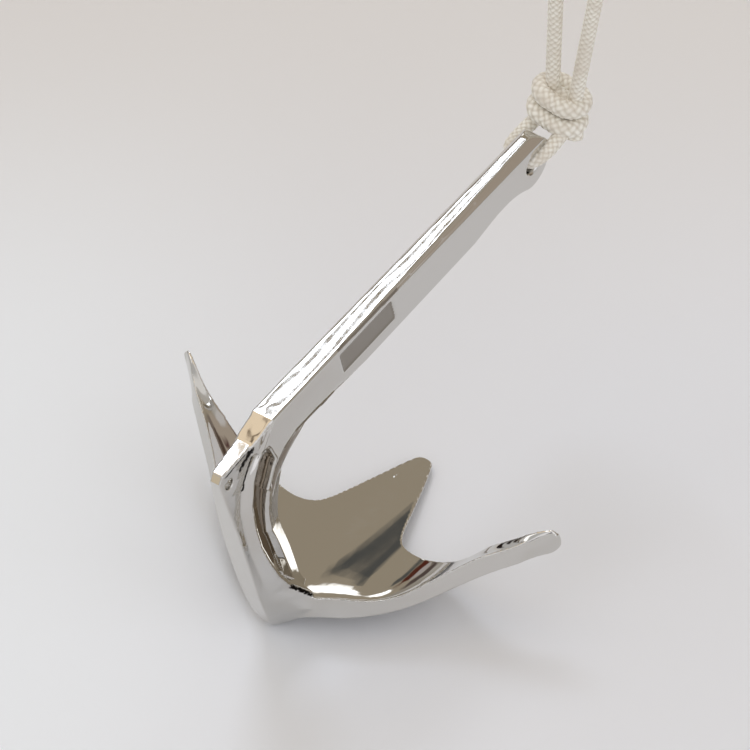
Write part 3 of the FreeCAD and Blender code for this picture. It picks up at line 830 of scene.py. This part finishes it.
def polished_stainless():
    material = bpy.data.materials.new("mirror_polished_stainless")
    material.use_nodes = True
    tree = material.node_tree
    shader = tree.nodes["Principled BSDF"]
    shader.inputs["Metallic"].default_value = 1.0
    place = add_node(tree, "ShaderNodeTexCoord")
    stretched = add_node(
        tree, "ShaderNodeMapping", {"Vector": place.outputs["Object"], "Scale": WAVE_STRETCH}
    )
    waves = add_node(
        tree, "ShaderNodeTexNoise",
        {"Vector": stretched.outputs["Vector"], "Scale": 1 / (WAVE_ACROSS_MM * MM), "Detail": 1.0},
    )
    haze = add_node(
        tree, "ShaderNodeTexNoise",
        {"Vector": place.outputs["Object"], "Scale": 1 / (HAZE_MM * MM), "Detail": 4.0},
    )
    grain = add_node(
        tree, "ShaderNodeTexNoise",
        {"Vector": place.outputs["Object"], "Scale": 1 / (PIT_GRAIN_MM * MM), "Detail": 2.0},
    )
    pitted = add_node(tree, "ShaderNodeAttribute", attribute_name="pits")
    recess = add_node(tree, "ShaderNodeAttribute", attribute_name="recess")
    broken = add_node(
        tree, "ShaderNodeMath", {0: pitted.outputs["Fac"], 1: grain.outputs["Fac"]}, operation="MULTIPLY"
    )
    pit = add_node(
        tree, "ShaderNodeMapRange",
        {"Value": broken.outputs["Value"], "From Min": 0.22, "From Max": 0.34},
    )
    # painted shade: the pocket and the deep chamfer are coloured darker, for the dark claw that they
    # mirror
    painted_shade = add_node(tree, "ShaderNodeAttribute", attribute_name="painted_shade")
    metal = add_node(
        tree, "ShaderNodeMix",
        {"Factor": recess.outputs["Fac"], 6: STEEL, 7: AS_CAST}, data_type="RGBA",
    )
    with_painted_shade = add_node(
        tree, "ShaderNodeMix",
        {"Factor": painted_shade.outputs["Fac"], 6: metal.outputs[2], 7: PAINTED_SHADE_COLOUR}, data_type="RGBA",
    )
    colour = add_node(
        tree, "ShaderNodeMix",
        {"Factor": pit.outputs["Result"], 6: with_painted_shade.outputs[2], 7: DARK_PIT}, data_type="RGBA",
    )
    bright = add_node(
        tree, "ShaderNodeMapRange",
        {
            "Value": haze.outputs["Fac"], "From Min": 0.3, "From Max": 0.8,
            "To Min": BRIGHT_ROUGHNESS[0], "To Max": BRIGHT_ROUGHNESS[1],
        },
    )
    as_cast = add_node(
        tree, "ShaderNodeMix",
        {"Factor": recess.outputs["Fac"], 2: bright.outputs["Result"], 3: AS_CAST_ROUGHNESS},
        data_type="FLOAT",
    )
    roughness = add_node(
        tree, "ShaderNodeMix",
        {"Factor": pit.outputs["Result"], 2: as_cast.outputs[0], 3: PIT_ROUGHNESS}, data_type="FLOAT",
    )
    curls = add_node(
        tree, "ShaderNodeTexNoise",
        {"Vector": place.outputs["Object"], "Scale": 1 / (CURL_MM * MM), "Detail": 0.0},
    )
    filed = add_node(tree, "ShaderNodeAttribute", attribute_name="curls")
    from_hollow = add_node(
        tree, "ShaderNodeVectorMath",
        {0: place.outputs["Object"], 1: from_heel(*HOLLOW_PLACE)}, operation="DISTANCE",
    )
    hollow = add_node(
        tree, "ShaderNodeMapRange",
        {"Value": from_hollow.outputs["Value"], "From Min": 0.0, "From Max": HOLLOW_MM * MM},
        interpolation_type="SMOOTHSTEP",
    )
    bump = add_node(
        tree, "ShaderNodeBump",
        {"Height": waves.outputs["Fac"], "Strength": 1.0, "Distance": WAVE_HEIGHT_MM * MM},
    )
    curled = add_node(
        tree, "ShaderNodeBump",
        {
            "Height": curls.outputs["Fac"], "Strength": filed.outputs["Fac"],
            "Distance": CURL_HEIGHT_MM * MM, "Normal": bump.outputs["Normal"],
        },
    )
    dished = add_node(
        tree, "ShaderNodeBump",
        {
            "Height": hollow.outputs["Result"], "Strength": 1.0,
            "Distance": HOLLOW_DEPTH_MM * MM, "Normal": curled.outputs["Normal"],
        },
    )
    tree.links.new(colour.outputs[2], shader.inputs["Base Color"])
    tree.links.new(roughness.outputs[0], shader.inputs["Roughness"])
    tree.links.new(dished.outputs["Normal"], shader.inputs["Normal"])
    return material


steel_finish = polished_stainless()
casting.data.materials.clear()
casting.data.materials.append(steel_finish)
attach(casting, "root")
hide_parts("anchor_casting")
print("material:", steel_finish.name)

# %% [markdown]
# The anchor hangs with its heel just clear of a pale matt sheet. Its colour is painted light: paler
# and cooler near the camera's left, and warmer and darker far away, for the way the light falls off.

# %% The sheet
# painted light: the sheet's colours stand in for the light falling off across it
SHEET_NEAR = hex_colour("#f4f7fa")
SHEET_RIGHT_PAINTED_SHADE = hex_colour("#eaebee")
SHEET_FAR_PAINTED_SHADE = hex_colour("#e4e1de")
SHEET_HALF = 0.9                         # half its width, in metres
SHEET_GAP = 0.6 * MM                     # below the heel
SHEET_MIDDLE = (60.0, 0.0, 0.0)
AWAY = Vector((0.82, 0.57, 0.0))         # level direction away from the camera
RIGHT = Vector((0.57, -0.82, 0.0))
SHEET_PAINTED_LIGHT = (
    # a direction, and from how far to how far from the heel its colour comes in
    (RIGHT, -120 * MM, 60 * MM, SHEET_RIGHT_PAINTED_SHADE),
    (AWAY, 130 * MM, 420 * MM, SHEET_FAR_PAINTED_SHADE),
)


def matt_paper():
    material = bpy.data.materials.new("matt_paper")
    material.use_nodes = True
    tree = material.node_tree
    shader = tree.nodes["Principled BSDF"]
    shader.inputs["Roughness"].default_value = 0.9
    place = add_node(tree, "ShaderNodeTexCoord")
    from_middle = add_node(
        tree, "ShaderNodeVectorMath", {0: place.outputs["Object"], 1: -HEEL * MM}, operation="ADD"
    )
    # the fades below are painted light, not the paper's own colour
    colour = SHEET_NEAR
    for direction, start, end, other in SHEET_PAINTED_LIGHT:
        reach = add_node(
            tree, "ShaderNodeVectorMath", {0: from_middle.outputs["Vector"], 1: direction},
            operation="DOT_PRODUCT",
        )
        share = add_node(
            tree, "ShaderNodeMapRange",
            {"Value": reach.outputs["Value"], "From Min": start, "From Max": end},
            interpolation_type="SMOOTHSTEP",
        )
        mix = add_node(
            tree, "ShaderNodeMix", {"Factor": share.outputs["Result"], 6: colour, 7: other},
            data_type="RGBA",
        )
        colour = mix.outputs[2]
    tree.links.new(colour, shader.inputs["Base Color"])
    return material


sheet_material = matt_paper()
sheet_mesh = bpy.data.meshes.new("paper_sheet")
middle = from_heel(*SHEET_MIDDLE)
sheet_height = middle.z - SHEET_GAP
corners = [(-1, -1), (1, -1), (1, 1), (-1, 1)]
sheet_mesh.from_pydata(
    [(middle.x + a * SHEET_HALF, middle.y + b * SHEET_HALF, sheet_height) for a, b in corners],
    [], [(0, 1, 2, 3)],
)
sheet_mesh.materials.append(sheet_material)
paper = bpy.data.objects.new("paper_sheet", sheet_mesh)
bpy.context.scene.collection.objects.link(paper)
print("sheet:", 2 * SHEET_HALF, "m square")

# %% [markdown]
# A mirror shows only its surroundings, so the studio is designed as the metal sees it: one
# bright window beyond the anchor, which also casts the soft shadow, a cream ceiling, a taupe
# room on the right and darker things under the window. It is one world shader. Soft round
# fields of light are laid over each other by direction, and the window, with its glazing bars,
# is laid over them. Directions are an azimuth from +X towards +Y and an elevation, in degrees.

# %% The studio
ROOM = hex_colour("#c6c5c4")
FIELDS = [
    # azimuth, elevation, inner and outer angle, colour, strength
    (235, 30, 28, 55, "#fbfbff", 1.15),      # pale wall behind the camera
    (0, 90, 14, 40, "#f2f0ee", 1.0),         # ceiling
    (92, 66, 12, 24, "#ffeacd", 1.1),        # its part that a warm lamp lights
    (104, 72, 6.2, 6.8, "#5e4a34", 1.0),     # the lamp's rim
    (104, 72, 5.4, 6.0, "#ffeacd", 1.1),
    (66, 2, 6, 10, "#2b2320", 1.0),          # dark things on the left
    (84, 17, 6, 10, "#2b2320", 1.0),
    (98, 29, 5, 9, "#3a302b", 1.0),
    (0, 20, 42, 60, "#a79c8a", 1.0),         # taupe wall behind the claw
    (-25, 34, 8, 18, "#aca090", 1.0),
    (-36, 2, 8, 18, "#83776e", 1.0),         # dark furniture on the right
    (-47, 18, 7, 14, "#b3a698", 1.0),
    (-64, 22, 8, 12, "#d0ccca", 1.0),        # a pale door on the right
    (-52, 56, 9, 20, "#c2beb8", 1.0),        # and the wall above it
    (-48, 10, 1.5, 3.5, "#5f4540", 1.0),     # small dark things beside it
    (-39, 5, 3, 7, "#5a4a40", 1.0),
    (3.5, 33, 2.5, 5, "#ffffff", 2.6),       # a lamp
    (40.5, 32, 0.5, 5.2, "#565654", 1.0),    # things that stand under the window
    (36, 20, 3, 6, "#ffffff", 2.2),
    (47.5, 25, 3.5, 6.5, "#5a2f24", 1.0),
    (50, 20, 2, 4, "#b4aca9", 1.0),
    (50, 12, 2, 5, "#5c504c", 1.0),
    (45, 1, 5, 9, "#a09a90", 1.0),
    (120, 43, 5, 11, "#ffffff", 1.7),        # light on the left
    (155, 6, 6, 16, "#dfd0b6", 1.0),         # pale wall on the left
    (216, 10, 8, 12, "#3a322c", 1.0),        # the dark camera and its stand
    (216, 34, 5, 10, "#3a322c", 1.0),
]
WINDOW_AZIMUTH = (33.0, 64.0)
WINDOW_ELEVATION = (44.5, 63.0)
WINDOW_COLOUR = "#e9f1ff"
WINDOW_STRENGTH = 7.5
WINDOW_SOFT = 0.8                # degrees over which its edge fades
BAR_SLOPE = 0.6                  # its bars lean: degrees of elevation for each one of azimuth
BARS = (23.7, 26.5)              # their elevations where the azimuth is 0
BAR_HALF = 0.8                   # half of a bar's width, in degrees
BAR_SOFT = 0.15                  # degrees over which its edges fade
WINDOW_STEPS = (
    ("turn", "ARCTAN2", "Y", "X"),
    ("rise", "ARCSINE", "Z"),
    ("azimuth", "DEGREES", "turn"),
    ("elevation", "DEGREES", "rise"),
    ("lean", "MULTIPLY", "azimuth", BAR_SLOPE),
    ("level", "SUBTRACT", "elevation", "lean"),
)


def towards(azimuth, elevation):
    """The direction that an azimuth and an elevation in degrees stand for."""
    a, e = math.radians(azimuth), math.radians(elevation)
    return Vector((math.cos(a) * math.cos(e), math.sin(a) * math.cos(e), math.sin(e)))


def range_mask(tree, value, low, high, soft):
    """1 where the value lies between low and high, fading to 0 outside."""
    rise = add_node(
        tree, "ShaderNodeMapRange", {"Value": value, "From Min": low - soft, "From Max": low + soft},
        interpolation_type="SMOOTHSTEP",
    )
    fall = add_node(
        tree, "ShaderNodeMapRange",
        {"Value": value, "From Min": high - soft, "From Max": high + soft, "To Min": 1.0, "To Max": 0.0},
        interpolation_type="SMOOTHSTEP",
    )
    both = add_node(
        tree, "ShaderNodeMath", {0: rise.outputs["Result"], 1: fall.outputs["Result"]},
        operation="MULTIPLY",
    )
    return both.outputs["Value"]


def window_mask(tree, direction):
    """1 on the window's panes, 0 on its bars and around it."""
    parts = add_node(tree, "ShaderNodeSeparateXYZ", {"Vector": direction})
    known = {axis: parts.outputs[axis] for axis in "XYZ"}
    add_steps(tree, WINDOW_STEPS, known)
    known["across"] = range_mask(tree, known["azimuth"], *WINDOW_AZIMUTH, WINDOW_SOFT)
    known["upright"] = range_mask(tree, known["elevation"], *WINDOW_ELEVATION, WINDOW_SOFT)
    add_steps(tree, [("panes", "MULTIPLY", "across", "upright")], known)
    for place in BARS:
        known["bar"] = range_mask(tree, known["level"], place - BAR_HALF, place + BAR_HALF, BAR_SOFT)
        steps = [("clear", "SUBTRACT", 1.0, "bar"), ("panes", "MULTIPLY", "panes", "clear")]
        add_steps(tree, steps, known)
    return known["panes"]


def studio_world():
    world = bpy.data.worlds.new("studio")
    world.use_nodes = True
    tree = world.node_tree
    tree.nodes.clear()
    place = add_node(tree, "ShaderNodeTexCoord")
    direction = place.outputs["Generated"]
    colour = ROOM
    for azimuth, elevation, inner, outer, text, strength in FIELDS:
        near = add_node(
            tree, "ShaderNodeVectorMath", {0: direction, 1: towards(azimuth, elevation)},
            operation="DOT_PRODUCT",
        )
        mask = add_node(
            tree, "ShaderNodeMapRange",
            {
                "Value": near.outputs["Value"],
                "From Min": math.cos(math.radians(outer)),
                "From Max": math.cos(math.radians(inner)),
            },
            interpolation_type="SMOOTHSTEP",
        )
        lit = [c * strength for c in hex_colour(text)[:3]] + [1.0]
        mix = add_node(
            tree, "ShaderNodeMix",
            {"Factor": mask.outputs["Result"], 6: colour, 7: lit}, data_type="RGBA",
        )
        colour = mix.outputs[2]
    lit = [c * WINDOW_STRENGTH for c in hex_colour(WINDOW_COLOUR)[:3]] + [1.0]
    mix = add_node(
        tree, "ShaderNodeMix",
        {"Factor": window_mask(tree, direction), 6: colour, 7: lit}, data_type="RGBA",
    )
    background = add_node(tree, "ShaderNodeBackground", {"Color": mix.outputs[2], "Strength": 1.0})
    add_node(tree, "ShaderNodeOutputWorld", {"Surface": background.outputs["Background"]})
    return world


bpy.context.scene.world = studio_world()
bpy.context.scene.view_settings.view_transform = "Standard"
print("studio:", len(FIELDS), "fields of light and a window")
